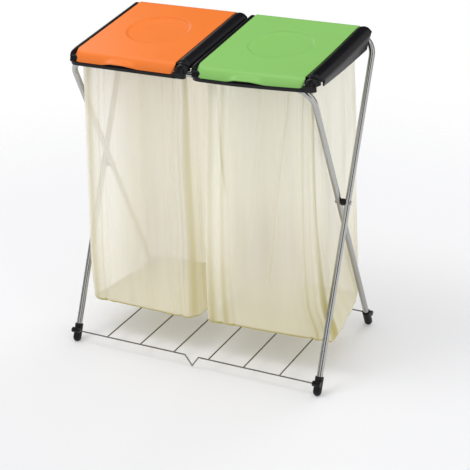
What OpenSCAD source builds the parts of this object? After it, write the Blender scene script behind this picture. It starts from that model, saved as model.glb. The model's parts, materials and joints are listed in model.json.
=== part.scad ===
// Folding stand that holds two waste bags, each under its own hinged lid.
// Two bent tube frames cross at a riveted pivot. Two moulded rims bridge their top tubes.
// Millimetres. X to the right, Y to the back, Z up. The origin is on the floor, midway between the feet.

/* [Tube frames] */
// Outside diameter of the frame tubes
tube_d = 13; // [11:0.5:15]
// Wall of the frame tubes
tube_wall = 1.2; // [0.8:0.1:2]
// Distance between the axes of the outer legs
outer_span = 600; // [590:1:620]
// Gap between an outer and an inner leg at the pivot
leg_gap = 7.5; // [6:0.5:9]
// Distance from the middle to where a leg's axis meets the floor
foot_reach = 172; // [160:1:185]
// Height of the pivot
pivot_height = 377; // [360:1:400]
// Height of the outer frame's top tube, at the back
outer_top = 698; // [680:1:720]
// Height of the inner frame's top tube, at the front
inner_top = 667; // [655:1:680]
// Bend radius of both frames, on the tube's axis
bend_radius = 42; // [36:1:48]

/* [Pivots] */
// Diameter of the rivets' shanks
rivet_d = 5; // [4:0.5:6]
// Diameter of the rivets' heads
rivet_head_d = 10; // [8:0.5:12]
// Height of the rivets' heads beyond the tube
rivet_head_h = 1.5; // [1:0.1:2]
// Diameter of the spacers between the legs
spacer_d = 15; // [12:0.5:18]

/* [Feet] */
// Diameter of the feet's sleeves
foot_d = 18.6; // [17.5:0.1:20]
// Height of the sleeves along the leg, from the floor
foot_height = 42; // [38:1:50]
// Depth of the flat that the foot's round end stands on
foot_flat = 0.8; // [0.4:0.1:1.5]
// Solid plastic between the round end's centre and the tube's end
foot_floor = 2; // [1:0.5:4]
// Diameter of the cross barrel that takes the shelf's wire
knob_d = 12; // [10:0.5:14]
// Length of the cross barrel
knob_length = 18; // [16:0.5:22]
// Distance from the leg's axis to the barrel's axis
knob_offset = 10; // [9:0.5:12]
// Height of the barrel's axis above the floor
knob_height = 28; // [26:0.5:34]
// Solid end of the barrel beyond the wire's bore
knob_end = 3; // [2:0.5:5]

/* [Wire shelf] */
// Diameter of the shelf's wires
wire_d = 3; // [2.5:0.1:4]
// Number of wires from front to back
cross_wires = 6; // [4:1:8]
// Width of the kink in the front wire
kink_width = 34; // [24:1:44]
// Depth of the kink in the front wire
kink_depth = 24; // [16:1:24]
// How far a welded wire sinks into the one that it lies on
weld_sink = 0.4; // [0.2:0.1:0.8]

/* [Rims] */
// Width of a rim
rim_width = 284; // [280:1:286]
// Gap between the two rims
rim_gap = 7; // [5:0.5:10]
// Shift of the two rims to the right of the middle
rim_shift = 5.5; // [3:0.5:6]
// Width of the left wall
wall_width = 10; // [9:0.5:12]
// Thickness of the rim's plastic
rim_skin = 2.5; // [2:0.1:3]
// Height of the left wall above the top tubes' plane
wall_top = 16; // [15:0.5:18]
// Radius of the round rail on the right
rail_r = 18; // [17:0.5:19]
// Height of the rail's axis above the top tubes' plane
rail_lift = 1.5; // [0:0.5:2.5]
// Inset of the skirt under the rail
skirt_inset = 4; // [3:0.5:6]
// Depth of the skirt at the front
skirt_front = 7.8; // [7:0.1:9]
// Depth of the skirt at the back
skirt_back = 24; // [18:1:28]
// Distance from the front tube's axis to the rim's front face
front_reach = 12.5; // [11.5:0.5:14]
// Height of the front band above the top tubes' plane
band_top = 2.2; // [1:0.1:3]
// Radius of the front corner of the left wall
corner_r = 9; // [5:0.5:9.5]

/* [Bag mouths] */
// Distance from the rim's left side to the mouth
mouth_left = 16; // [15.5:0.1:18]
// Distance from the rail to the mouth's right side
mouth_right = 4; // [3.5:0.1:6]
// Distance from the front tube's axis to the mouth's front side
mouth_front = 10; // [9.5:0.1:12]
// Distance from the back tube's axis to the mouth's back side
mouth_back = 20; // [19.5:0.5:24]
// Thickness of the lip that the bag folds over
lip_wall = 2; // [1.5:0.1:2.2]
// Height of the lip above the top tubes' plane
lip_top = 12; // [11:0.5:12.2]
// Height of the ledge outside the lip
ledge_top = 8.8; // [8:0.1:9.5]
// Radius of the mouth's corners
mouth_corner = 16; // [12:1:24]

/* [Lids] */
// Thickness of the lids
lid_wall = 2.2; // [1.6:0.1:2.4]
// Radius of the lid's front edge, seen from the side
lid_front_r = 28; // [24:1:32]
// Radius of the lid's front corners, seen from above
lid_corner = 22; // [14:1:30]
// Radius of the round panel on the lid
panel_r = 68; // [50:1:80]
// Height of the round panel's step
panel_step = 0.8; // [0.4:0.1:1.2]
// Width of the finger lip in the front edge
finger_width = 94; // [70:1:110]
// Rise of the front edge at the finger lip
finger_rise = 5.5; // [4:0.5:7]
// Width of a lid's knuckles on the back tube
knuckle_width = 12; // [8:1:16]

/* [Bags] */
// Thickness of the bags' film as a solid
film = 0.8; // [0.6:0.1:1]
// Height of the bags' bottoms above the floor
bag_floor = 74; // [70:1:84]
// Depth of the film's upright folds
fold_depth = 3; // [1:0.5:3.5]

/* [Clearances] */
// Radial clearance of a tube in its foot
socket_gap = 0.1; // [0.05:0.05:0.3]
// Radial running clearance of a shaft in its bore
running_gap = 0.08; // [0.03:0.01:0.1]
// Radial clearance of clips and channels on a tube
clip_gap = 0.3; // [0.2:0.1:0.5]
// Gap between parts that pass each other
passing_gap = 0.6; // [0.4:0.1:1]
// Gap between the film and the plastic
film_gap = 0.4; // [0.3:0.1:0.5]
// Gap between the front wire's ends and the front feet
wire_end_gap = 0.3; // [0.2:0.1:0.6]

// Angle that a rim swings up while the stand folds
rim_swing = 118; // [100:1:118]

/* [Hidden] */
$fn = 64;

// Sizes that follow from the ones above
tube_r = tube_d / 2;
wire_r = wire_d / 2;
leg_step = tube_d + leg_gap;
outer_x = outer_span / 2;
inner_x = outer_x - leg_step;
lean = atan(foot_reach / pivot_height);
back_y = outer_top * tan(lean) - foot_reach;
front_y = foot_reach - inner_top * tan(lean);
tops_apart = norm([back_y - front_y, outer_top - inner_top]);
rim_tilt = atan((outer_top - inner_top) / (back_y - front_y));

// Where the feet's cross barrels lie
foot_centre = (foot_d / 2 - foot_flat) / cos(lean);
knob_along = (knob_height - knob_offset * sin(lean)) / cos(lean);
knob_y = foot_reach - knob_along * sin(lean) + knob_offset * cos(lean);
bore_depth = knob_length - knob_end;

// Places across and along a rim, seen from its left side and its back tube
left_rim_x = rim_shift - rim_gap / 2 - rim_width;
right_rim_x = rim_shift + rim_gap / 2;
rail_x = rim_width - rail_r;
rail_left = rim_width - 2 * rail_r;
skirt_x = rim_width - skirt_inset;
rim_front = -tops_apart - front_reach;
lip_left = mouth_left - lip_wall;
lip_right = rail_left - mouth_right + lip_wall;
mouth_width = rail_left - mouth_right - mouth_left;
mouth_length = tops_apart - mouth_front - mouth_back;
mouth_x = mouth_left + mouth_width / 2;
mouth_y = -mouth_back - mouth_length / 2;
channel_r = tube_r + clip_gap + 0.2;
channel_wall = 2;
exit_top = 4;
exit_length = 35;
clip_wall = 3.6;
clip_x = [30, rail_left - 12];
clip_width = 8;
bend_zone = 27;
sweep_r = 30;
back_end_r = 16;

// Places on a lid
lid_left_x = wall_width + passing_gap;
lid_width = rail_left - wall_width - 2 * passing_gap;
lid_top = wall_top;
lid_under = wall_top - lid_wall;
lid_front_y = rim_front - 0.7 + lid_front_r * cos(31);
lid_front_z = lid_top - lid_front_r;
lid_edge_z = lid_front_z + lid_front_r * sin(31);
knuckle_x = [62, 186];

// The film of a bag, as rings of points from its outer bottom over the lip to its inner bottom
corner_steps = 4;
edge_steps = 14;
ring_count = 4 * (corner_steps + edge_steps);
fold_waves = [11, 17];
cuff_drop = lip_top - ledge_top - film_gap;
belly_z = 300;
neck_z = 610;
left_base = [[-282, -112], [-6, -112], [-8, 148], [-265, 146]];
left_belly = [[-264, -110], [-14, -112], [-16, 138], [-262, 136]];
left_neck = [[-262, -112], [-26, -114], [-30, 126], [-262, 124]];
right_base = [[10, -110], [285, -110], [261, 144], [12, 148]];
right_belly = [[18, -112], [266, -110], [262, 136], [20, 138]];
right_neck = [[28, -114], [256, -112], [256, 124], [30, 126]];

module along_x(length) { rotate([90, 0, 90]) linear_extrude(length) children(); }

module along_y(length) { rotate([90, 0, 0]) linear_extrude(length) children(); }

// A sector round the X axis, its angles counted from the back upwards
module sector(from, to, r, x, width) {
    translate([x, 0, 0]) rotate([90, 0, 90]) rotate_extrude(angle = to - from, start = from) square([r, width]);
}

module on_rim(x) { translate([x, back_y, outer_top]) rotate([rim_tilt, 0, 0]) children(); }

module rounded_box_2d(size, r) {
    translate([-size.x / 2 + r, -size.y / 2]) square([size.x - 2 * r, size.y]);
    translate([-size.x / 2, -size.y / 2 + r]) square([size.x, size.y - 2 * r]);
    for (sx = [-1, 1], sy = [-1, 1])
        translate([sx * (size.x / 2 - r), sy * (size.y / 2 - r)]) circle(r);
}

// Bent tube frames

module bent_rod(half_span, length, start, r) {
    straight = length - bend_radius - start;
    for (side = [0, 1]) mirror([side, 0, 0]) {
        translate([half_span, start + straight, 0]) rotate([90, 0, 0]) cylinder(r = r, h = straight);
        translate([half_span - bend_radius, length - bend_radius, 0])
            rotate_extrude(angle = 90) translate([bend_radius, 0]) circle(r);
    }
    translate([-half_span + bend_radius, length, 0])
        rotate([90, 0, 90]) cylinder(r = r, h = 2 * (half_span - bend_radius));
}

module bent_frame(half_span, top) {
    length = top / cos(lean);
    start = foot_centre + foot_floor;
    pivot = pivot_height / cos(lean);
    difference() {
        bent_rod(half_span, length, start, tube_r);
        bent_rod(half_span, length, start, tube_r - tube_wall);
        for (side = [-1, 1])
            translate([side * half_span - tube_d, pivot, 0])
                rotate([90, 0, 90]) cylinder(d = rivet_d + 2 * running_gap, h = 2 * tube_d);
    }
}

module outer_tube() {
    color("silver") translate([0, -foot_reach, 0]) rotate([90 - lean, 0, 0]) bent_frame(outer_x, outer_top);
}

module inner_tube() {
    color("silver") translate([0, foot_reach, 0]) rotate([90 + lean, 0, 0]) bent_frame(inner_x, inner_top);
}

// Feet, with the cross barrel on the side away from the middle

module foot(x) {
    inward = x > 0 ? -1 : 1;
    color([0.12, 0.12, 0.15]) difference() {
        translate([x, -foot_reach, 0]) rotate([-lean, 0, 0]) difference() {
            union() {
                translate([0, 0, foot_centre]) sphere(d = foot_d);
                translate([0, 0, foot_centre]) cylinder(d = foot_d, h = foot_height - foot_centre);
                translate([-knob_length / 2, -knob_offset, knob_along])
                    rotate([90, 0, 90]) cylinder(d = knob_d, h = knob_length);
            }
            translate([0, 0, foot_centre + foot_floor])
                cylinder(r = tube_r + socket_gap, h = foot_height);
            translate([inward * knob_length / 2, -knob_offset, knob_along])
                rotate([0, -90 * inward, 0]) cylinder(r = wire_r + running_gap, h = bore_depth);
        }
        translate([x - foot_d, -foot_reach - foot_d, -foot_d]) cube([2 * foot_d, 2 * foot_d, foot_d]);
    }
}

module back_foot(x) { mirror([0, 1, 0]) foot(x); }

// Pivots

module pivot_spacer(side) {
    saddle = tube_r / 2;
    color([0.12, 0.12, 0.15]) difference() {
        translate([side * (inner_x + tube_r + running_gap), 0, pivot_height]) rotate([0, side * 90, 0])
            cylinder(d = spacer_d, h = leg_gap - running_gap + saddle);
        translate([side * outer_x, -foot_reach, 0]) rotate([-lean, 0, 0])
            cylinder(r = tube_r + running_gap, h = outer_top / cos(lean));
        translate([side * inner_x, 0, pivot_height]) rotate([0, side * 90, 0])
            cylinder(d = rivet_d + 2 * running_gap, h = 2 * leg_step);
    }
}

module rivet_head() {
    rotate_extrude() intersection() {
        square([rivet_head_d / 2, rivet_head_h]);
        translate([0, rivet_head_h - rivet_head_d]) circle(rivet_head_d);
    }
}

module pivot_rivet(side) {
    outside = outer_x + tube_r;
    inside = inner_x - tube_r - running_gap;
    color("gainsboro") translate([0, 0, pivot_height]) {
        translate([side * inside, 0, 0]) rotate([0, side * 90, 0]) cylinder(d = rivet_d, h = outside - inside);
        translate([side * outside, 0, 0]) rotate([0, side * 90, 0]) rivet_head();
        translate([side * inside, 0, 0]) rotate([0, -side * 90, 0]) rivet_head();
    }
}

// Wire shelf, hinged in the back feet

module wire(from, to) {
    run = to - from;
    translate(from) rotate([0, acos(run.z / norm(run)), atan2(run.y, run.x)]) cylinder(r = wire_r, h = norm(run));
}

module shelf_front_wire() {
    end_x = outer_x - knob_length / 2 - wire_end_gap;
    half = kink_width / 2;
    tip = [0, -knob_y, knob_height - kink_depth];
    color("dimgray") {
        for (side = [-1, 1]) {
            shoulder = [side * half, -knob_y, knob_height];
            wire([side * end_x, -knob_y, knob_height], shoulder);
            wire(tip, shoulder);
            translate(shoulder) sphere(wire_r);
        }
        translate(tip) sphere(wire_r);
    }
}

module shelf_back_wire() {
    end_x = inner_x - knob_length / 2 + bore_depth - passing_gap;
    color("dimgray") wire([-end_x, knob_y, knob_height], [end_x, knob_y, knob_height]);
}

module shelf_cross_wire(number) {
    step = outer_span / (cross_wires + 1);
    x = -outer_x + number * step;
    z = knob_height + wire_d - weld_sink;
    if (number <= cross_wires)
        color("dimgray") wire([x, -knob_y - wire_r, z], [x, knob_y + wire_r, z]);
}

// Rims, drawn from their left side with the back tube's axis along X at the origin

module skirt_side() {
    polygon([[rim_front, -skirt_front], [0, -skirt_back], [0, wall_top], [rim_front, wall_top]]);
    circle(back_end_r);
}

module left_wall_section() {
    round_r = 3;
    translate([0, -skirt_back]) square([wall_width, skirt_back + wall_top - round_r]);
    translate([round_r, 0]) square([wall_width - 2 * round_r, wall_top]);
    for (x = [round_r, wall_width - round_r]) translate([x, wall_top - round_r]) circle(round_r);
}

module left_wall_plan() {
    translate([corner_r, rim_front]) square([wall_width - corner_r, -rim_front + back_end_r]);
    translate([0, rim_front + corner_r]) square([wall_width, -rim_front - corner_r + back_end_r]);
    translate([corner_r, rim_front + corner_r]) intersection() {
        circle(corner_r);
        translate([-corner_r, -corner_r]) square(corner_r);
    }
}

module left_wall() {
    cavity_front = rim_front + corner_r;
    difference() {
        intersection() {
            translate([0, back_end_r, 0]) along_y(back_end_r - rim_front) left_wall_section();
            along_x(wall_width) skirt_side();
            translate([0, 0, -skirt_back]) linear_extrude(skirt_back + wall_top) left_wall_plan();
        }
        translate([rim_skin, cavity_front, -2 * skirt_back])
            cube([wall_width - 2 * rim_skin, -mouth_back - cavity_front, 2 * skirt_back + wall_top - rim_skin]);
    }
}

module rail_shape(r, x0, x1, y0) {
    front = rim_front + rail_r + 2;
    translate([rail_x, 0, rail_lift]) {
        rotate([90, 0, 0]) cylinder(r = r, h = -front);
        translate([0, front, 0]) sphere(r);
        sphere(r);
    }
    intersection() {
        translate([x0, y0, -2 * skirt_back]) cube([x1 - x0, -y0, 2 * skirt_back + rail_lift]);
        children();
    }
}

module rail() {
    inner_r = rail_r - rim_skin;
    difference() {
        rail_shape(rail_r, rail_left, skirt_x, rim_front) along_x(rim_width) skirt_side();
        rail_shape(inner_r, rail_left + rim_skin, skirt_x - rim_skin, rim_front + rim_skin)
            cube([3 * rim_width, 3 * rim_width, 3 * rim_width], center = true);
        translate([skirt_x - 2 * rim_skin, -tops_apart, -2 * skirt_back])
            cube([rail_r, exit_length, 2 * skirt_back + exit_top]);
    }
}

module front_channel() {
    outer_r = channel_r + channel_wall;
    width = rail_left - wall_width + 2 * rim_skin;
    translate([wall_width - rim_skin, 0, 0]) {
        translate([0, -tops_apart, 0]) rotate([90, 0, 90]) cylinder(r = outer_r, h = width);
        translate([0, rim_front, -rim_skin]) cube([width, front_reach - channel_r, rim_skin + band_top]);
        translate([0, -tops_apart, ledge_top - rim_skin]) cube([width, mouth_front - lip_wall / 2, rim_skin]);
    }
    translate([corner_r, rim_front, -skirt_front]) cube([rail_left - corner_r, rim_skin, skirt_front + band_top]);
}

module mouth_lip() {
    outer_size = [mouth_width + 2 * lip_wall, mouth_length + 2 * lip_wall];
    translate([mouth_x, mouth_y, 0]) difference() {
        translate([0, 0, -rim_skin]) linear_extrude(lip_top + rim_skin)
            rounded_box_2d(outer_size, mouth_corner + lip_wall);
        translate([0, 0, -skirt_back]) linear_extrude(3 * skirt_back)
            rounded_box_2d([mouth_width, mouth_length], mouth_corner);
    }
}

module side_ledges() {
    y0 = -tops_apart;
    length = tops_apart - mouth_back + lip_wall;
    z = ledge_top - rim_skin;
    difference() {
        union() {
            translate([wall_width - rim_skin, y0, z]) cube([lip_left + 1 - wall_width + rim_skin, length, rim_skin]);
            translate([lip_right - 1, y0, z]) cube([rail_left + rim_skin - lip_right + 1, length, rim_skin]);
            for (x = [wall_width - rim_skin, rail_left + rim_skin - mouth_corner])
                translate([x, -tops_apart, z]) cube([mouth_corner, mouth_front + mouth_corner, rim_skin]);
            for (x = [wall_width - rim_skin, rail_left + rim_skin - mouth_corner])
                translate([x, -mouth_back + lip_wall - mouth_corner, z]) cube([mouth_corner, mouth_corner, rim_skin]);
        }
        translate([mouth_x, mouth_y, -skirt_back]) linear_extrude(3 * skirt_back)
            rounded_box_2d([mouth_width, mouth_length], mouth_corner);
    }
}

module back_clips() {
    outer_r = tube_r + clip_gap + clip_wall;
    for (x = clip_x) translate([x, 0, 0]) {
        rotate([90, 0, 90]) cylinder(r = outer_r, h = clip_width);
        translate([0, -mouth_back + lip_wall / 2, 0]) cube([clip_width, mouth_back - outer_r, ledge_top]);
    }
}

// What the outer frame's bends sweep under the rims while these swing up
module bend_sweep(x, width) {
    rest = 270 - lean - rim_tilt;
    swung = rest + rim_swing;
    sector(rest, swung, sweep_r, x, width);
    for (angle = [rest, swung]) translate([x, 0, 0]) rotate([angle, 0, 0])
        translate([0, 0, -tube_r - 2 * clip_gap]) cube([width, sweep_r + 1, tube_d + 4 * clip_gap]);
}

module bend_clearance() {
    bend_sweep(-1, bend_zone + 1);
    bend_sweep(mouth_x + mouth_width / 2 + lip_wall - 1, 3 * rail_r);
}

module rim(x) {
    tube_hole = tube_r + clip_gap;
    color([0.12, 0.12, 0.15]) on_rim(x) difference() {
        union() {
            left_wall();
            rail();
            front_channel();
            mouth_lip();
            side_ledges();
            back_clips();
        }
        translate([-1, -tops_apart, 0]) rotate([90, 0, 90])
            cylinder(r = channel_r, h = rim_width + 2);
        translate([-1, -tops_apart - channel_r, -2 * skirt_back])
            cube([rim_width + 2, channel_r + exit_length, 2 * skirt_back + exit_top]);
        translate([-1, 0, 0]) rotate([90, 0, 90]) cylinder(r = tube_hole, h = rim_width + 2);
        sector(250, 320, back_end_r, bend_zone, rail_left - bend_zone);
        bend_clearance();
    }
}

// Lids, drawn in the same place as their rim

module lid_side(skin) {
    // Seen from the side: the wrap round the back tube, the top and the rounded front edge
    r = lid_front_r - skin;
    back_r = lid_top - skin;
    circle(back_r);
    translate([lid_front_y, lid_edge_z]) square([-lid_front_y, back_r - lid_edge_z]);
    translate([lid_front_y, lid_front_z]) intersection() {
        circle(r);
        translate([-lid_front_r, lid_edge_z - lid_front_z]) square(lid_front_r);
    }
}

module lid_plan() {
    far = rim_front - lid_front_r;
    translate([0, rim_front + lid_corner]) square([lid_width, -rim_front - lid_corner + lid_top]);
    translate([lid_corner, far]) square([lid_width - 2 * lid_corner, lid_corner + lid_front_r + 1]);
    for (x = [lid_corner, lid_width - lid_corner])
        translate([x, rim_front + lid_corner]) circle(lid_corner);
}

module finger_cut() {
    // Raises the front edge in its middle, with rounded ends
    end_r = finger_rise;
    half = finger_width / 2;
    translate([lid_width / 2, rim_front + lid_corner / 2, lid_edge_z]) along_y(lid_front_r) {
        translate([-half + end_r, -end_r]) square([finger_width - 2 * end_r, finger_rise + end_r]);
        for (x = [-half + end_r, half - end_r]) translate([x, 0]) circle(end_r);
    }
}

module lid(x, tint) {
    knuckle_r = tube_r + clip_gap + lid_wall;
    color(tint) on_rim(x) translate([lid_left_x, 0, 0]) difference() {
        union() {
            intersection() {
                difference() {
                    along_x(lid_width) lid_side(0);
                    translate([-1, 0, 0]) along_x(lid_width + 2) lid_side(lid_wall);
                    translate([-1, lid_front_y - lid_front_r, -lid_front_r])
                        cube([lid_width + 2, -lid_front_y + lid_front_r, lid_front_r + lid_edge_z]);
                    sector(180, 320, 2 * lid_top, -1, lid_width + 2);
                }
                translate([0, 0, -lid_front_r]) linear_extrude(3 * lid_front_r) lid_plan();
            }
            translate([mouth_x - lid_left_x, mouth_y, lid_under + 0.01])
                cylinder(r = panel_r, h = lid_wall + panel_step);
            for (k = knuckle_x) translate([k, 0, 0]) {
                rotate([90, 0, 90]) cylinder(r = knuckle_r, h = knuckle_width);
                translate([0, -tube_r / 2, tube_r]) cube([knuckle_width, tube_r, lid_under - tube_r + 0.5]);
            }
        }
        translate([-1, 0, 0]) rotate([90, 0, 90]) cylinder(r = tube_r + clip_gap, h = lid_width + 2);
        for (k = knuckle_x)
            translate([k - 1, -tube_d / 2 + 1, -2 * tube_d]) cube([knuckle_width + 2, tube_d - 2, 2 * tube_d]);
        finger_cut();
    }
}

// Bags, folded outward over the rims' lips and hanging free

function ring_place(i) =
    let (steps = corner_steps + edge_steps, c = floor(i / steps), j = i - c * steps,
         hx = mouth_width / 2, hy = mouth_length / 2, r = mouth_corner,
         arc = c * 90 + min(j, corner_steps) * 90 / corner_steps,
         centre = [(c == 0 || c == 3 ? 1 : -1) * (hx - r), (c < 2 ? 1 : -1) * (hy - r)],
         along = j <= corner_steps ? 0 : (j - corner_steps) / edge_steps,
         side = [[-2 * (hx - r), 0], [0, -2 * (hy - r)], [2 * (hx - r), 0], [0, 2 * (hy - r)]][c])
    centre + r * [cos(arc), sin(arc)] + along * side;

function mixed(a, b, share) = a * (1 - share) + b * share;

function on_quad(corners, p, q) =
    mixed(mixed(corners[0], corners[1], p), mixed(corners[3], corners[2], p), q);

function fold(i, strength) =
    let (turn = 360 * i / ring_count)
    strength * fold_depth * (0.6 * cos(fold_waves[0] * turn) + 0.4 * cos(fold_waves[1] * turn + 50));

// One ring in the rim's tilted frame, offset outwards from the lip's inner face
function mouth_ring(x, offset, z) = [for (i = [0:ring_count - 1])
    let (p = ring_place(i), s = [1 + 2 * offset / mouth_width, 1 + 2 * offset / mouth_length],
         y = mouth_y + p.y * s.y)
    [x + mouth_x + p.x * s.x, back_y + y * cos(rim_tilt) - z * sin(rim_tilt),
     outer_top + y * sin(rim_tilt) + z * cos(rim_tilt)]];

// One level ring on four corners, drawn in towards the middle by a share
function hanging_ring(corners, z, offset, share, strength) = [for (i = [0:ring_count - 1])
    let (p = ring_place(i), o = offset + fold(i, strength),
         u = share * (p.x / mouth_width * (1 + 2 * o / mouth_width)) + 0.5,
         v = share * (p.y / mouth_length * (1 + 2 * o / mouth_length)) + 0.5,
         at = on_quad(corners, u, v))
    [at.x, at.y, z]];

function bag_skin(base, belly, neck, inset) = let (low = bag_floor + inset) [
    hanging_ring(base, low, -inset, 0.03, 0),
    hanging_ring(base, low + 2, -inset, 0.6, 0),
    hanging_ring(base, low + 7, -inset, 0.93, 0.5),
    hanging_ring(base, low + 20, -inset, 1, 1),
    hanging_ring(mixed(base, belly, 0.5), mixed(low, belly_z, 0.5), -inset, 1, 1),
    hanging_ring(belly, belly_z, -inset, 1, 1),
    hanging_ring(mixed(belly, neck, 0.5), mixed(belly_z, neck_z, 0.5), -inset, 1, 0.8),
    hanging_ring(neck, neck_z, -inset, 1, 0.5)];

function reversed(list) = [for (i = [len(list) - 1:-1:0]) list[i]];

module bag(x, base, belly, neck) {
    inside = -film_gap;
    outside = lip_wall + film_gap;
    over = lip_top + film_gap;
    under = lip_top - cuff_drop + film_gap;
    rings = concat(
        bag_skin(base, belly, neck, 0),
        [mouth_ring(x, inside, -8), mouth_ring(x, inside, over),
         mouth_ring(x, outside, over), mouth_ring(x, outside, under),
         mouth_ring(x, outside + film, under), mouth_ring(x, outside + film, over + film),
         mouth_ring(x, inside - film, over + film), mouth_ring(x, inside - film, -8)],
        reversed(bag_skin(base, belly, neck, film)));
    last = len(rings) - 1;
    n = ring_count;
    points = [for (ring = rings) each ring];
    walls = [for (k = [0:last - 1], i = [0:n - 1])
        each [[k * n + i, (k + 1) * n + i, (k + 1) * n + (i + 1) % n],
              [k * n + i, (k + 1) * n + (i + 1) % n, k * n + (i + 1) % n]]];
    first_cap = [for (i = [0:n - 1]) i];
    last_cap = [for (i = [n - 1:-1:0]) last * n + i];
    color([0.93, 0.91, 0.84]) polyhedron(points, concat(walls, [first_cap, last_cap]));
}

outer_tube();
inner_tube();
foot(-outer_x);  // foot_front_left
foot(outer_x);  // foot_front_right
back_foot(-inner_x);  // foot_back_left
back_foot(inner_x);  // foot_back_right
pivot_spacer(-1);  // pivot_spacer_left
pivot_spacer(1);  // pivot_spacer_right
pivot_rivet(-1);  // pivot_rivet_left
pivot_rivet(1);  // pivot_rivet_right
shelf_front_wire();
shelf_back_wire();
shelf_cross_wire(1);  // shelf_cross_wire_1
shelf_cross_wire(2);  // shelf_cross_wire_2
shelf_cross_wire(3);  // shelf_cross_wire_3
shelf_cross_wire(4);  // shelf_cross_wire_4
shelf_cross_wire(5);  // shelf_cross_wire_5
shelf_cross_wire(6);  // shelf_cross_wire_6
rim(left_rim_x);  // rim_left
rim(right_rim_x);  // rim_right
lid(left_rim_x, [0.96, 0.57, 0.28]);  // lid_left
lid(right_rim_x, [0.55, 0.78, 0.44]);  // lid_right
bag(left_rim_x, left_base, left_belly, left_neck);  // bag_left
bag(right_rim_x, right_base, right_belly, right_neck);  // bag_right
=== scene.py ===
"""Folding stand for two waste bags: lids, rims, film bags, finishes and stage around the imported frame."""

import json
import math

import bmesh
import bpy
from bpy.props import FloatProperty, FloatVectorProperty, PointerProperty
from mathutils import Matrix, Vector, noise


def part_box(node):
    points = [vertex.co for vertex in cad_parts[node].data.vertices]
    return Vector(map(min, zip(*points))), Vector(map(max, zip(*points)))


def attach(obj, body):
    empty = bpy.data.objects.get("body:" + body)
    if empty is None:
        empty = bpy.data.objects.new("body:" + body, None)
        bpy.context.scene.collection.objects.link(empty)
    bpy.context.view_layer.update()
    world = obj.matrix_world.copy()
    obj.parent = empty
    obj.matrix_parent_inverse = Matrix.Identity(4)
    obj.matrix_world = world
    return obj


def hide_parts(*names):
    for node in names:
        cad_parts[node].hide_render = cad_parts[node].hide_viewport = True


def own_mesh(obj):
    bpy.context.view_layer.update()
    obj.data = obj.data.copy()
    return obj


bl_info = {
    "name": "Folding Bag Stand",
    "version": (1, 0, 0),
    "blender": (4, 5, 0),
    "location": "3D View > Sidebar > Bag Stand",
    "description": "Builds the lids, rims, film bags and finishes of a folding stand for two waste bags",
    "category": "Object",
}

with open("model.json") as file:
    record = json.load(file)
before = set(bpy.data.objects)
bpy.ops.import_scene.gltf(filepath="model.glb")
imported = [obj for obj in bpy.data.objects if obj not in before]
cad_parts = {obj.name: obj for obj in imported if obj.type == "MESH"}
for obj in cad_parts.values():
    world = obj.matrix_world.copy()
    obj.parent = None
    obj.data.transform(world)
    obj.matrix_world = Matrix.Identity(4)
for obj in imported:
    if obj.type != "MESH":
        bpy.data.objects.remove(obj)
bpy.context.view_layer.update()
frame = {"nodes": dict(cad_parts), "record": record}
MM = 0.001

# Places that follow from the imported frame
TUBE_R = 6.5 * MM
OUTER_LOW, OUTER_HIGH = (Vector(corner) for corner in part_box("outer_tube"))
INNER_LOW, INNER_HIGH = (Vector(corner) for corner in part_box("inner_tube"))
BACK_Y = OUTER_HIGH.y - TUBE_R
BACK_Z = OUTER_HIGH.z - TUBE_R
FRONT_Y = INNER_LOW.y + TUBE_R
FRONT_Z = INNER_HIGH.z - TUBE_R
RIM_TILT = math.atan2(BACK_Z - FRONT_Z, BACK_Y - FRONT_Y)
TOPS_APART = math.hypot(BACK_Z - FRONT_Z, BACK_Y - FRONT_Y)
RIM_LEFT_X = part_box("rim_left")[0][0]
RIM_RIGHT_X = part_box("rim_right")[0][0]


def rim_space(x):
    """The space of a rim at a place across the stand.

    X runs across it from its left side, Y back from the back tube's axis and Z off the rim's plane.
    """
    return Matrix.Translation((x, BACK_Y, BACK_Z)) @ Matrix.Rotation(RIM_TILT, 4, "X")


def smooth_step(value, low, high):
    """0 below low, 1 above high, with soft ends between."""
    share = min(max((value - low) / (high - low), 0.0), 1.0)
    return share * share * (3 - 2 * share)


def mixed(a, b, share):
    """A value or vector that share of the way from a to b."""
    return a + (b - a) * share


class StandSizes(bpy.types.PropertyGroup):
    """Sizes of the pieces that are modelled here."""

    lid_wall: FloatProperty(
        name="Lid wall", description="Thickness of a lid", default=2.2 * MM, unit="LENGTH"
    )
    lid_corner: FloatProperty(
        name="Lid corner", description="Radius of a lid's front corners", default=22 * MM, unit="LENGTH"
    )
    lid_roll: FloatProperty(
        name="Lid roll", description="Radius of a lid's rolled front edge", default=28 * MM, unit="LENGTH"
    )
    panel_radius: FloatProperty(
        name="Panel radius", description="Radius of the round panel on a lid", default=70 * MM, unit="LENGTH"
    )
    panel_step: FloatProperty(
        name="Panel step", description="Depth of the round panel", default=3.0 * MM, unit="LENGTH"
    )
    finger_width: FloatProperty(
        name="Finger lip width", description="Width of the lip in a lid's front edge", default=94 * MM,
        unit="LENGTH",
    )
    finger_rise: FloatProperty(
        name="Finger lip rise", description="How far the lip rises", default=11.0 * MM, unit="LENGTH"
    )


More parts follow.
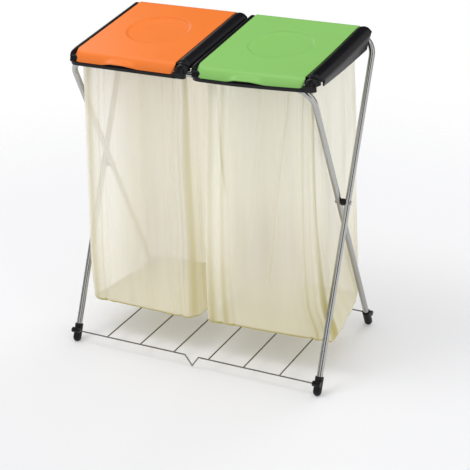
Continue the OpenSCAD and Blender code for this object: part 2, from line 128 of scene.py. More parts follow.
class StandColours(bpy.types.PropertyGroup):
    """Colours of the stand's finishes, as linear values."""

    orange: FloatVectorProperty(
        name="Orange lid", description="Colour of the left lid", subtype="COLOR", size=3,
        default=(0.85, 0.205, 0.034),
    )
    green: FloatVectorProperty(
        name="Green lid", description="Colour of the right lid", subtype="COLOR", size=3,
        default=(0.25, 0.535, 0.14),
    )
    black: FloatVectorProperty(
        name="Black plastic", description="Colour of rims and feet", subtype="COLOR", size=3,
        default=(0.005, 0.005, 0.007),
    )
    steel: FloatVectorProperty(
        name="Tube", description="Colour of the plated tubes", subtype="COLOR", size=3,
        default=(0.46, 0.46, 0.455),
    )
    wire: FloatVectorProperty(
        name="Wire", description="Colour of the shelf's wires", subtype="COLOR", size=3,
        default=(0.24, 0.23, 0.21),
    )
    film: FloatVectorProperty(
        name="Film", description="Colour of the bags' film", subtype="COLOR", size=3,
        default=(0.42, 0.355, 0.105),
    )
    floor: FloatVectorProperty(
        name="Floor", description="Colour of the floor", subtype="COLOR", size=3,
        default=(0.90, 0.90, 0.91),
    )


# Shader groups and materials


def new_group(name, inputs, outputs):
    """An empty shader group with named sockets, each given as (name, kind, default)."""
    group = bpy.data.node_groups.new(name, "ShaderNodeTree")
    for direction, sockets in (("INPUT", inputs), ("OUTPUT", outputs)):
        for label, kind, default in sockets:
            socket = group.interface.new_socket(name=label, in_out=direction, socket_type="NodeSocket" + kind)
            if default is not None:
                socket.default_value = default
    return group, group.nodes.new("NodeGroupInput"), group.nodes.new("NodeGroupOutput")


def feed(link, value, socket):
    """Links another node's output to a socket, or sets the socket to a number or colour."""
    if isinstance(value, bpy.types.NodeSocket):
        link(value, socket)
    else:
        socket.default_value = value


def maths(nodes, link, operation, *values, clamp=False):
    """The output of a Math node with a number or an output for each of its inputs."""
    node = nodes.new("ShaderNodeMath")
    node.operation = operation
    node.use_clamp = clamp
    for value, socket in zip(values, node.inputs):
        feed(link, value, socket)
    return node.outputs[0]


def noise_field(nodes, link, place, scale, detail):
    """The value of a Noise texture at a place."""
    field = nodes.new("ShaderNodeTexNoise")
    field.inputs["Detail"].default_value = detail
    link(place, field.inputs["Vector"])
    feed(link, scale, field.inputs["Scale"])
    return field.outputs["Fac"]


def ranged(nodes, link, value, low, high, ramp="LINEAR"):
    """How far a value is on its way from low to high, from 0 to 1."""
    node = nodes.new("ShaderNodeMapRange")
    node.interpolation_type = ramp
    node.inputs["From Min"].default_value = low
    node.inputs["From Max"].default_value = high
    link(value, node.inputs["Value"])
    return node.outputs["Result"]


def colour_mix(nodes, link, share, first, second):
    """The colour that share of the way from the first to the second."""
    node = nodes.new("ShaderNodeMix")
    node.data_type = "RGBA"
    link(share, node.inputs["Factor"])
    feed(link, first, node.inputs[6])
    feed(link, second, node.inputs[7])
    return node.outputs[2]


def moulded_grain_group():
    """Colour drift, roughness and fine height of moulded plastic."""
    group, source, target = new_group(
        "Moulded grain",
        [("Colour", "Color", (0.5, 0.5, 0.5, 1)), ("Drift", "Float", 0.06), ("Grain Scale", "Float", 900.0),
         ("Roughness", "Float", 0.35), ("Roughness Drift", "Float", 0.08)],
        [("Colour", "Color", None), ("Roughness", "Float", None), ("Height", "Float", None)],
    )
    nodes, link, given = group.nodes, group.links.new, source.outputs
    place = nodes.new("ShaderNodeTexCoord").outputs["Object"]
    broad = noise_field(nodes, link, place, 9.0, 3.0)
    fine = noise_field(nodes, link, place, given["Grain Scale"], 2.0)
    centred = maths(nodes, link, "SUBTRACT", broad, 0.5)
    tint = nodes.new("ShaderNodeVectorMath")
    tint.operation = "SCALE"
    link(given["Colour"], tint.inputs[0])
    link(maths(nodes, link, "MULTIPLY_ADD", centred, given["Drift"], 1.0), tint.inputs["Scale"])
    rough = maths(nodes, link, "MULTIPLY_ADD", centred, given["Roughness Drift"], given["Roughness"])
    link(tint.outputs[0], target.inputs["Colour"])
    link(rough, target.inputs["Roughness"])
    link(fine, target.inputs["Height"])


def drawn_metal_group():
    """Fine changes of roughness and height on drawn tube and wire."""
    group, source, target = new_group(
        "Drawn metal",
        [("Roughness", "Float", 0.25), ("Spread", "Float", 0.12), ("Scale", "Float", 60.0)],
        [("Roughness", "Float", None), ("Height", "Float", None)],
    )
    nodes, link, given = group.nodes, group.links.new, source.outputs
    place = nodes.new("ShaderNodeTexCoord").outputs["Object"]
    grain = noise_field(nodes, link, place, given["Scale"], 4.0)
    rough = maths(nodes, link, "MULTIPLY_ADD", grain, given["Spread"], given["Roughness"])
    link(rough, target.inputs["Roughness"])
    link(grain, target.inputs["Height"])


def film_group():
    """Cloudiness of thin film: opacity from the number of layers and soft upright streaks."""
    group, source, target = new_group(
        "Film cloud",
        [("Colour", "Color", (0.8, 0.8, 0.6, 1)), ("Thin Colour", "Color", (0.9, 0.9, 0.85, 1)),
         ("Layers", "Float", 1.0), ("Opacity", "Float", 0.4), ("Streaks", "Float", 0.5)],
        [("Colour", "Color", None), ("Alpha", "Float", None), ("Height", "Float", None)],
    )
    nodes, link, given = group.nodes, group.links.new, source.outputs
    place = nodes.new("ShaderNodeTexCoord").outputs["Object"]
    stretch = nodes.new("ShaderNodeMapping")
    stretch.inputs["Scale"].default_value = (26.0, 26.0, 1.6)
    link(place, stretch.inputs["Vector"])
    streak = noise_field(nodes, link, stretch.outputs[0], 1.0, 4.0)
    centred = maths(nodes, link, "SUBTRACT", streak, 0.5)
    sway = maths(nodes, link, "MULTIPLY_ADD", centred, given["Streaks"], given["Layers"])
    clear = maths(nodes, link, "SUBTRACT", 1.0, given["Opacity"])
    through = maths(nodes, link, "POWER", clear, sway)
    deep = ranged(nodes, link, given["Layers"], 0.8, 3.2)
    link(colour_mix(nodes, link, deep, given["Thin Colour"], given["Colour"]), target.inputs["Colour"])
    link(maths(nodes, link, "SUBTRACT", 1.0, through), target.inputs["Alpha"])
    link(streak, target.inputs["Height"])


def shader(name):
    """The Principled shader of a new material, its nodes and a function that links them."""
    material = bpy.data.materials.new(name)
    material.use_nodes = True
    nodes = material.node_tree.nodes
    return nodes["Principled BSDF"], nodes, material.node_tree.links.new


def placed(nodes, group, **values):
    """A shader group placed in a material with its own values."""
    node = nodes.new("ShaderNodeGroup")
    node.node_tree = bpy.data.node_groups[group]
    for label, value in values.items():
        node.inputs[label.replace("_", " ")].default_value = value
    return node


def bumped(nodes, link, height, surface, distance, strength=1.0):
    """Feeds a height through a Bump node to the surface's normal."""
    bump = nodes.new("ShaderNodeBump")
    bump.inputs["Distance"].default_value = distance
    bump.inputs["Strength"].default_value = strength
    link(height, bump.inputs["Height"])
    link(bump.outputs[0], surface.inputs["Normal"])


def plastic(name, colour, roughness, drift, grain_height, gloss):
    """Moulded plastic with a fine grain and a slight drift of its colour."""
    surface, nodes, link = shader(name)
    grain = placed(nodes, "Moulded grain", Colour=(*colour, 1), Drift=drift, Roughness=roughness)
    link(grain.outputs["Colour"], surface.inputs["Base Color"])
    link(grain.outputs["Roughness"], surface.inputs["Roughness"])
    bumped(nodes, link, grain.outputs["Height"], surface, grain_height)
    surface.inputs["Specular IOR Level"].default_value = gloss


def metal(name, colour, roughness, spread, scale):
    """Drawn metal with fine changes of its gloss."""
    surface, nodes, link = shader(name)
    surface.inputs["Metallic"].default_value = 1.0
    surface.inputs["Base Color"].default_value = (*colour, 1)
    grain = placed(nodes, "Drawn metal", Roughness=roughness, Spread=spread, Scale=scale)
    link(grain.outputs["Roughness"], surface.inputs["Roughness"])
    bumped(nodes, link, grain.outputs["Height"], surface, 0.004 * MM)


def film_material(colour):
    """Thin cloudy film, denser where the mesh's layers attribute says so, glowing evenly in its own colour as
    painted light for the light that shines through it.
    """
    surface, nodes, link = shader("bag_film")
    layers = nodes.new("ShaderNodeAttribute")
    layers.attribute_name = "layers"
    cloud = placed(
        nodes, "Film cloud",
        Colour=(*colour, 1), Thin_Colour=(0.965, 0.95, 0.87, 1), Opacity=0.52, Streaks=0.4,
    )
    link(layers.outputs["Fac"], cloud.inputs["Layers"])
    link(cloud.outputs["Colour"], surface.inputs["Base Color"])
    # Painted light: the film glows in its own colour, standing in for light that shines through it from
    # behind.
    link(cloud.outputs["Colour"], surface.inputs["Emission Color"])
    surface.inputs["Emission Strength"].default_value = 0.23
    link(cloud.outputs["Alpha"], surface.inputs["Alpha"])
    bumped(nodes, link, cloud.outputs["Height"], surface, 0.4 * MM, 0.4)
    surface.inputs["Roughness"].default_value = 0.35
    surface.inputs["Specular IOR Level"].default_value = 0.35


# Meshes


def quads(count, across, closed=True, ring=False):
    """Faces between rows of points. Closed joins each row's ends, ring the last row to the first."""
    faces = []
    for j in range(count if ring else count - 1):
        n = (j + 1) % count
        for i in range(across if closed else across - 1):
            k = (i + 1) % across
            faces.append((j * across + i, j * across + k, n * across + k, n * across + i))
    return faces


def new_piece(name, points, faces, material):
    """An object in the scene with a mesh of its own."""
    mesh = bpy.data.meshes.new(name)
    mesh.from_pydata([tuple(point) for point in points], [], faces)
    mesh.materials.append(material)
    piece = bpy.data.objects.new(name, mesh)
    bpy.context.collection.objects.link(piece)
    return piece


def grid_mesh(name, rows, material, closed=False):
    """A smooth sheet through rows of points of equal length, each row closed on itself or open."""
    points = [point for row in rows for point in row]
    piece = new_piece(name, points, quads(len(rows), len(rows[0]), closed), material)
    piece.data.validate()
    piece.data.shade_smooth()
    return piece


def soften_edges(piece, width, degrees, harden):
    """Adds a fine bevel to the edges that are sharper than an angle."""
    soft = piece.modifiers.new("edges", "BEVEL")
    soft.width = width
    soft.segments = 3
    soft.limit_method = "ANGLE"
    soft.angle_limit = math.radians(degrees)
    soft.harden_normals = harden


def apply_modifiers(piece):
    """Applies the piece's modifiers to its mesh."""
    evaluated = piece.evaluated_get(bpy.context.evaluated_depsgraph_get())
    mesh = bpy.data.meshes.new_from_object(evaluated)
    piece.modifiers.clear()
    piece.data = mesh


def body_of_node(node):
    """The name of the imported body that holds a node."""
    for body, nodes in frame["record"]["behaviour"]["bodies"].items():
        if node in nodes:
            return body
    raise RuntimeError(f"no body holds {node}")


def finish_node(node, material):
    """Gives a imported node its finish."""
    piece = frame["nodes"][node]
    if not piece.material_slots:
        piece.data.materials.append(material)
    for slot in piece.material_slots:
        slot.material = material


class STAND_OT_materials(bpy.types.Operator):
    """Makes the shader groups and the finishes"""

    bl_idname = "stand.materials"
    bl_label = "Finishes"

    def execute(self, context):
        colours = context.scene.stand_colours
        moulded_grain_group()
        drawn_metal_group()
        film_group()
        plastic("black_moulding", colours.black, 0.32, 0.3, 0.03 * MM, 0.28)
        plastic("orange_moulding", colours.orange, 0.30, 0.05, 0.012 * MM, 0.25)
        plastic("green_moulding", colours.green, 0.30, 0.05, 0.012 * MM, 0.25)
        metal("plated_tube", colours.steel, 0.14, 0.05, 45.0)
        metal("rivet_metal", colours.steel, 0.25, 0.1, 200.0)
        metal("shelf_wire", colours.wire, 0.3, 0.15, 120.0)
        film_material(colours.film)
        return {"FINISHED"}


class STAND_OT_frame_parts(bpy.types.Operator):
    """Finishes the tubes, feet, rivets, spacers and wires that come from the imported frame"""

    bl_idname = "stand.frame_parts"
    bl_label = "Frame parts"

    def execute(self, context):
        finishes = {
            "tube": "plated_tube",
            "black_plastic": "black_moulding",
            "rivet": "rivet_metal",
            "wire": "shelf_wire",
        }
        for part in frame["record"]["subparts"]:
            if part["material_slot"] in finishes and not part["node"].startswith("rim"):
                finish_node(part["node"], bpy.data.materials[finishes[part["material_slot"]]])
        return {"FINISHED"}


def solid_sweep(sections):
    """Points and faces of a closed solid through closed sections of equal length, with both ends capped."""
    count, across = len(sections), len(sections[0])
    points = [Vector(point) for section in sections for point in section]
    faces = quads(count, across)
    faces.append(tuple(reversed(range(across))))
    faces.append(tuple(range((count - 1) * across, count * across)))
    return points, faces


def solid_ring(sections):
    """Points and faces of a closed ring through closed sections of equal length."""
    points = [Vector(point) for section in sections for point in section]
    return points, quads(len(sections), len(sections[0]), ring=True)


def solid_piece(name, parts, space, finish, bevel, lift=0.0):
    """One object of closed parts given in millimetres in a space, with softened edges."""
    points, faces = [], []
    for part_points, part_faces in parts:
        first = len(points)
        points += [space @ (corner_lift(point, lift) * MM) for point in part_points]
        faces += [tuple(first + corner for corner in face) for face in part_faces]
    piece = new_piece(name, points, faces, bpy.data.materials[finish])
    build = bmesh.new()
    build.from_mesh(piece.data)
    bmesh.ops.remove_doubles(build, verts=build.verts, dist=0.005 * MM)
    bmesh.ops.recalc_face_normals(build, faces=build.faces)
    build.to_mesh(piece.data)
    build.free()
    piece.data.shade_smooth()
    soften_edges(piece, bevel * MM, 35, True)
    return piece


# Rims, in millimetres in the rim's space

# Distance between the top tubes, and a rim's heights at its walls and front band
APART = TOPS_APART / MM
WALL_TOP = 16.0
RIM_FRONT = -APART - 13.2
BAND_TOP = 0.2
BAND_LOW = -7.8
BACK_LOW = -24.0

# Gap in the side walls over the front tube, from front to back, and its roof
NOTCH = (-APART - 7.0, -APART + 35.0)
NOTCH_TOP = 4.0

# Room round the back tube and its bend
BEND_Y = -21.8
TUBE_CLEAR_R = 7.2
SLOT_Y = 5.9

# Opening for the lid, and the front left corner outside and inside
LID_LEFT, LID_RIGHT = 12.6, 252.2
LID_FRONT = -APART - 12.6
WALL_IN = LID_LEFT - 0.7
OUTER_CORNER = 26.0
CORNER_IN = 22.0

# The round rail on the right, its ball and the block below the ball
RAIL_X, RAIL_Z, RAIL_R = 266.0, 1.5, 18.0
BALL_X, BALL_R = 272.0, 16.8
BLOCK_LEFT, BLOCK_RIGHT, BLOCK_CORNER = 255.5, 284.5, 9.0

# Left ends and width of the clips on the back tube and of the lids' knuckles between them
CLIP_XS, CLIP_WIDE = (30, 236), 8
KNUCKLE_XS, KNUCKLE_WIDE = (73, 196), 12

# Rise of the right rim's front right corner, and the length of an upright step in a sweep
RIGHT_LIFT = 7.0
STEP_DOWN = 0.01


def lower_edge(y):
    """Height of the lower edge of a rim's sides: deeper to the back, clear of the tube's bend."""
    deep = mixed(BAND_LOW, BACK_LOW, (y - RIM_FRONT) / -RIM_FRONT)
    if y < BEND_Y:
        return deep
    if y < -SLOT_Y:
        return max(deep, 3.6 + 1.672 * (y + SLOT_Y))
    if y > 0:
        return max(deep, 7.0)
    return max(deep, math.sqrt(max(TUBE_CLEAR_R**2 - y * y, 0.0)))


def corner_lift(point, lift):
    """Raises a point towards the front right corner, where the right rim rides on the tube's bend."""
    across = min(max((point.x - 70) / 200, 0), 1.1) ** 1.6
    along = min(max(-point.y / APART, 0), 1.1) ** 3
    return Vector((point.x, point.y, point.z + lift * across * along))


def wall_section(outer, inner, top, inner_top, flat, low, round_r=4.0):
    """Section of the rim's wall between two points of its plan."""
    outer, inner = Vector((*outer, 0)), Vector((*inner, 0))
    across = (inner - outer).normalized()
    width = (inner - outer).length
    round_r = min(round_r, (top - low) / 2.2)
    points = [outer + Vector((0, 0, low))]
    for degrees in (180, 162, 144, 126, 108, 90):
        angle = math.radians(degrees)
        step = across * (round_r + round_r * math.cos(angle))
        points.append(outer + step + Vector((0, 0, top - round_r + round_r * math.sin(angle))))
    points.append(outer + across * max(flat * width, round_r + 0.3) + Vector((0, 0, top - 0.05)))
    points.append(outer + across * (width - 0.7) + Vector((0, 0, max(inner_top + 0.5, low + 0.3))))
    points.append(inner + Vector((0, 0, max(inner_top - 0.6, low + 0.2))))
    points.append(inner + Vector((0, 0, low)))
    return points


def rim_wall():
    """The left wall, the rounded front corner and the band under the lid's front edge."""
    sections = []
    ys = [14.2, 13.6, 12.5, 10.5, 8, 5.5, 3, 0, -3, -5.5, -7.5, -10, -15, BEND_Y, BEND_Y - STEP_DOWN]
    ys += [-40, -70, -100, -130, -160, -190, -220, -240]
    for y in ys:
        top = WALL_TOP if y <= 0 else math.sqrt(max(WALL_TOP**2 - y * y, 0.0))
        low = min(lower_edge(y), top - 0.4)
        sections.append(wall_section((0, y), (WALL_IN, y), top, top - 1.6, 0.62, low))
    ends = [(NOTCH[1], lower_edge(NOTCH[1])), (NOTCH[1] - STEP_DOWN, NOTCH_TOP)]
    ends += [(y, NOTCH_TOP) for y in (-252, -257, -261, -265)]
    for y, low in ends:
        top = WALL_TOP - 5 * smooth_step(-y, 250, 300)
        inner_top = WALL_TOP - 1.6 - 9.9 * smooth_step(-y, 238, 264)
        sections.append(wall_section((0, y), (WALL_IN, y), top, inner_top, 0.55, low))
    centre = (OUTER_CORNER, RIM_FRONT + OUTER_CORNER)
    inner_centre = (WALL_IN + CORNER_IN, LID_FRONT - 0.7 + CORNER_IN)
    for step in range(19):
        angle = math.radians(180 + 5 * step)
        turn = (math.cos(angle), math.sin(angle))
        outer = (centre[0] + OUTER_CORNER * turn[0], centre[1] + OUTER_CORNER * turn[1])
        inner = (inner_centre[0] + CORNER_IN * turn[0], inner_centre[1] + CORNER_IN * turn[1])
        fall = smooth_step(step, -3, 17)
        top = mixed(WALL_TOP - 0.6, BAND_TOP, fall)
        if outer[1] > NOTCH[0]:
            low = NOTCH_TOP
            inner_top = NOTCH_TOP + 0.4
        else:
            low = BAND_LOW
            inner_top = min(mixed(4.4, BAND_TOP - 0.4, smooth_step(step, 9, 17)), top - 0.3)
        if low == BAND_LOW and sections[-1][0].z > 0:
            sections.append(wall_section(outer, inner, top, inner_top, 0.4, NOTCH_TOP))
            outer = (outer[0], outer[1] - STEP_DOWN)
        sections.append(wall_section(outer, inner, top, inner_top, mixed(0.42, 0.75, fall), low))
    band_in = NOTCH[0] + 0.4
    for x in (45, 70, 100, 132, 164, 194, 220, 236, 243, 250, 256, 263):
        sections.append(
            wall_section((x, RIM_FRONT), (x, band_in), BAND_TOP, BAND_TOP - 0.3, 0.75, BAND_LOW, 1.4)
        )
    return solid_sweep(sections)


def rail_radius(y):
    """Radius of the rail along its length, with the rounded back end and the pinch before the ball."""
    if y > -4:
        return RAIL_R * math.sqrt(max(1 - ((y + 4) / 20.5) ** 2, 0.004))
    return RAIL_R - 3.0 * smooth_step(-y, APART - 23, APART - 16)


def rim_rail():
    """The barrel rail with its skirt, a shell open below."""
    sections = []
    ys = [16.3, 16, 15.2, 13.8, 12, 9.5, 6.5, 3, 0, -4, -7.5, -12, -17, BEND_Y, BEND_Y - STEP_DOWN]
    ys += [-50, -90, -130, -170, -210, -235, NOTCH[1], NOTCH[1] - STEP_DOWN]
    ys += [-250, -254, -256, -258, -260, -262, -264, -266, -269]
    for y in ys:
        radius = rail_radius(y)
        low = NOTCH_TOP if y < NOTCH[1] else min(lower_edge(y), RAIL_Z + radius - 0.5)
        inner = max(radius - 2.5, 0.3)
        skirt_low = min(low, RAIL_Z - 0.2) if y < -8 and low < RAIL_Z else low
        points = [Vector((RAIL_X - radius, y, max(-2.0, low)))]
        for step in range(21):
            angle = math.pi * (1 - step / 20)
            z = max(RAIL_Z + radius * math.sin(angle), low)
            points.append(Vector((RAIL_X + radius * math.cos(angle), y, z)))
        points.append(Vector((RAIL_X + radius - 0.7, y, max(mixed(RAIL_Z, low, 0.35), low))))
        points.append(Vector((RAIL_X + radius - 3.0, y, skirt_low)))
        points.append(Vector((RAIL_X + inner - 3.0, y, skirt_low)))
        for step in range(13):
            angle = math.pi * step / 12
            z = max(RAIL_Z + inner * math.sin(angle), low)
            points.append(Vector((RAIL_X + inner * math.cos(angle), y, z)))
        points.append(Vector((RAIL_X - inner, y, max(-2.0, low))))
        sections.append(points)
    return solid_sweep(sections)


def rail_ball():
    """The ball that ends the rail, cut away below for the front tube."""
    centre = Vector((BALL_X, RIM_FRONT + BALL_R - 0.2, RAIL_Z))
    sections = []
    for step in range(25):
        around = math.pi * min(max(step / 24, 0.004), 0.996)
        y = -BALL_R * math.cos(around)
        radius = (BALL_R - 0.2) * math.sin(around)
        section = []
        for turn in range(40):
            angle = 2 * math.pi * turn / 40
            point = centre + Vector((radius * math.cos(angle), y, radius * math.sin(angle)))
            point.z = max(point.z, NOTCH_TOP if point.y > NOTCH[0] else BAND_LOW)
            section.append(point)
        sections.append(section)
    return solid_sweep(sections)


def ball_block():
    """The upright block under the ball, with a rounded outer corner."""
    plan = [(BLOCK_LEFT, NOTCH[0]), (BLOCK_LEFT, RIM_FRONT), (264, RIM_FRONT)]
    for step in range(9):
        angle = math.radians(-90 + 90 * step / 8)
        x = BLOCK_RIGHT - BLOCK_CORNER + BLOCK_CORNER * math.cos(angle)
        plan.append((x, min(RIM_FRONT + BLOCK_CORNER * (1 + math.sin(angle)), NOTCH[0])))
    rows = [(BAND_LOW, 1.2), (BAND_LOW + 1.2, 0.0), (1.0, 0.0), (5.0, 0.8)]
    middle = Vector((265, NOTCH[0]))
    sections = []
    for z, inset in rows:
        section = []
        for x, y in plan:
            at = Vector((x, y))
            away = middle - at
            pull = away.normalized() * min(inset, away.length) if away.length > 0 else Vector((0, 0))
            section.append(Vector((at.x + pull.x, min(at.y + pull.y, NOTCH[0]), z)))
        sections.append(section)
    return solid_sweep(sections)


def mouth_plan(inset, z):
    """Points of the bag mouth's rounded outline, moved out by an inset."""
    low, high, r = Vector((16, -APART + 10)), Vector((244, -20)), 16.0
    points = []
    for cx, cy, start in ((low.x + r, low.y + r, 180), (high.x - r, low.y + r, 270),
                          (high.x - r, high.y - r, 0), (low.x + r, high.y - r, 90)):
        for step in range(9):
            angle = math.radians(start + 90 * step / 8)
            points.append(Vector((cx + (r + inset) * math.cos(angle), cy + (r + inset) * math.sin(angle), z)))
    return points


def moved_out(value, low, low_end, high, high_end):
    """A value moved to an outer end where it lies beyond a limit."""
    if value < low:
        return low_end
    return high_end if value > high else value


def mouth_frame():
    """The lip that a bag folds over and the ledge round it."""
    rows = [mouth_plan(0, -2.5), mouth_plan(0, 11.4), mouth_plan(0.6, 12), mouth_plan(1.4, 12),
            mouth_plan(2, 11.4), mouth_plan(2, 8.8)]
    outer = []
    for point in mouth_plan(2, 8.8):
        x = moved_out(point.x, 30, 9.8, 230, 249.5)
        y = moved_out(point.y, -APART + 26, -APART - 1.5, -36, -17.5)
        outer.append(Vector((x, y, 8.8)))
    rows.append(outer)
    rows.append([Vector((point.x, point.y, 6.4)) for point in outer])
    rows.append(mouth_plan(2, 6.4))
    rows.append(mouth_plan(2, -2.5))
    sections = [[row[i] for row in rows] for i in range(len(rows[0]))]
    return solid_ring(sections)


def tube_saddle(x0, x1, start, end, inner, outer, y_shift, steps=18):
    """A part ring round a tube, between two angles seen from the side."""
    sections = []
    for x in (x0, x1):
        section = []
        for radius, turns in ((outer, range(steps + 1)), (inner, range(steps, -1, -1))):
            for step in turns:
                angle = math.radians(mixed(start, end, step / steps))
                section.append(Vector((x, y_shift + radius * math.cos(angle), radius * math.sin(angle))))
        sections.append(section)
    return solid_sweep(sections)


def block(low, high):
    """An upright block between two corners."""
    (x0, y0, z0), (x1, y1, z1) = low, high
    sections = []
    for x in (x0, x1):
        sections.append([Vector((x, y0, z0)), Vector((x, y1, z0)), Vector((x, y1, z1)), Vector((x, y0, z1))])
    return solid_sweep(sections)


class STAND_OT_rims(bpy.types.Operator):
    """Builds the two rims with their rails, lips and clips"""

    bl_idname = "stand.rims"
    bl_label = "Rims"

    def execute(self, context):
        for node, rim_x, lift in (("rim_left", RIM_LEFT_X, 0.0), ("rim_right", RIM_RIGHT_X, RIGHT_LIFT)):
            parts = [rim_wall(), rim_rail(), rail_ball(), ball_block(), mouth_frame()]
            parts.append(tube_saddle(8, 253, 192, 14, 7.3, 9.3, -APART))
            for x in CLIP_XS:
                parts.append(tube_saddle(x, x + CLIP_WIDE, -40, 250, 6.8, 9.4, 0))
                parts.append(block((x, -19, 4.5), (x + CLIP_WIDE, -7.5, 8.6)))
            piece = solid_piece(node + "_shell", parts, rim_space(rim_x), "black_moulding", 0.7, lift)
            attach(piece, body_of_node(node))
            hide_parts(node)
        return {"FINISHED"}


# Lids, in millimetres in the rim's space

LID_EDGE = 0.6
LID_BACK = 5.0
LID_RIGHT_R = 8.0
LID_WIDENS = 3.4
PANEL_CENTRE = Vector((131, -122))
PANEL_HOLLOW = 1.6
FINGER_X = 130
FINGER_OUT = 12.0


def lid_profile(sizes):
    """Points of a lid's top skin seen from the side, from behind the back tube to the front edge, in mm."""
    points = []
    for degrees in range(-30, 90, 6):
        angle = math.radians(degrees)
        points.append((LID_BACK + WALL_TOP * math.cos(angle) * 0.98, WALL_TOP * math.sin(angle)))
    roll = sizes.lid_roll / MM
    turned = math.acos((LID_EDGE - WALL_TOP + roll) / roll)
    roll_y = LID_FRONT + roll * math.sin(turned)
    steps = round((LID_BACK - roll_y) / 2)
    for step in range(steps + 1):
        points.append((mixed(LID_BACK, roll_y, step / steps), WALL_TOP))
    for step in range(1, 19):
        angle = turned * step / 18
        points.append((roll_y - roll * math.sin(angle), WALL_TOP - roll + roll * math.cos(angle)))
    return points


def lid_columns(width, left_r, right_r):
    """Places across a lid, closer together in its corners."""
    steps = 12
    pulls = [1 - math.cos(math.radians(90 * k / steps)) for k in range(steps)]
    middle = round((width - left_r - right_r) / 2)
    columns = [left_r * pull for pull in pulls]
    columns += [left_r + (width - left_r - right_r) * k / middle for k in range(middle + 1)]
    columns += [width - right_r * pull for pull in reversed(pulls)]
    return columns


def build_lid(node, rim_x, finish, lift):
    """A lid as one moulded skin with rolled front edge, rounded corners, round panel and finger lip."""
    sizes = bpy.context.scene.stand_sizes
    width = LID_RIGHT - LID_LEFT
    left_r = sizes.lid_corner / MM
    panel = sizes.panel_radius / MM
    half = sizes.finger_width / MM / 2
    rows = []
    for y, z in lid_profile(sizes):
        row = []
        for place in lid_columns(width, left_r, LID_RIGHT_R):
            x = LID_LEFT + place
            x += LID_WIDENS * smooth_step(-y, APART - 14, APART - 4) * smooth_step(place, width - 30, width)
            corner, side = (left_r, place) if place < width / 2 else (LID_RIGHT_R, width - place)
            pulled = corner - math.sqrt(max(corner**2 - max(corner - side, 0) ** 2, 0))
            share = smooth_step(-y, -LID_FRONT - 2.4 * corner, -LID_FRONT - 0.2 * corner)
            at_y = y + pulled * share
            reach = (Vector((x, at_y)) - PANEL_CENTRE).length / panel
            dish = sizes.panel_step / MM * (1 - smooth_step(reach, 0.955, 1.0))
            at_z = z - dish - PANEL_HOLLOW * max(1 - reach * reach, 0)
            low = smooth_step(WALL_TOP - z, 2.0, WALL_TOP - LID_EDGE) if y < -APART / 2 else 0.0
            lifted = 1 - smooth_step(abs(x - FINGER_X), 0.25 * half, half)
            at_z += sizes.finger_rise / MM * lifted * low**1.2
            at_y -= FINGER_OUT * lifted * low**2.5
            row.append(corner_lift(Vector((x, at_y, at_z)), lift))
        rows.append(row)
    space = rim_space(rim_x)
    skin = grid_mesh(
        node + "_skin", [[space @ (point * MM) for point in row] for row in rows], bpy.data.materials[finish]
    )
    thick = skin.modifiers.new("wall", "SOLIDIFY")
    thick.thickness = sizes.lid_wall
    thick.offset = 1.0
    thick.use_even_offset = True
    soften_edges(skin, 0.8 * MM, 50, False)
    apply_modifiers(skin)
    parts = []
    for x in KNUCKLE_XS:
        parts.append(tube_saddle(x, x + KNUCKLE_WIDE, -20, 200, 6.9, 9.1, 0))
        parts.append(block((x, -4, 8.4), (x + KNUCKLE_WIDE, 4, WALL_TOP - 1.5)))
    return skin, solid_piece(node + "_knuckles", parts, space, finish, 0.5)


class STAND_OT_lids(bpy.types.Operator):
    """Builds the two lids"""

    bl_idname = "stand.lids"
    bl_label = "Lids"

    def execute(self, context):
        lids = (
            ("lid_left", RIM_LEFT_X, "orange", 0.0),
            ("lid_right", RIM_RIGHT_X, "green", RIGHT_LIFT),
        )
        for node, rim_x, colour, lift in lids:
            for piece in build_lid(node, rim_x, colour + "_moulding", lift):
                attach(piece, body_of_node(node))
                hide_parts(node)
        return {"FINISHED"}


# Bags: each level has the eight corners of the film, from the front left round by the right and back

LEFT_BAG = (
    (622, ((-263, -112), (-21, -114), (-16, -98), (-22, 8),
           (-34, 124), (-256, 124), (-250, 60), (-264, -60))),
    (453, ((-272, -112), (-31, -114), (-23, -88), (-22, 10),
           (-26, 132), (-260, 130), (-246, 62), (-268, -58))),
    (300, ((-280, -112), (-30, -114), (-22, -86), (-20, 12),
           (-20, 138), (-262, 136), (-246, 64), (-275, -56))),
    (180, ((-284, -112), (-33, -113), (-21, -86), (-18, 14),
           (-14, 144), (-263, 142), (-252, 66), (-280, -54))),
    (90, ((-285, -108), (-37, -109), (-19, -90), (-12, 16),
          (-10, 148), (-264, 145), (-262, 66), (-280, -52))),
)
RIGHT_BAG = (
    (640, ((33, -111), (268, -111), (266, -96), (264, 10),
           (267, 122), (36, 124), (22, 60), (40, -60))),
    (495, ((23, -111), (269, -111), (266, -92), (262, 14),
           (268, 130), (28, 130), (12, 60), (34, -58))),
    (334, ((16, -111), (273, -111), (268, -84), (258, 20),
           (266, 134), (22, 136), (8, 60), (28, -56))),
    (180, ((11, -111), (285, -110), (281, -70), (264, 44),
           (266, 140), (16, 144), (8, 58), (20, -54))),
    (90, ((8, -106), (301, -88), (299, -48), (284, 66),
          (263, 147), (12, 148), (9, 56), (12, -52))),
)


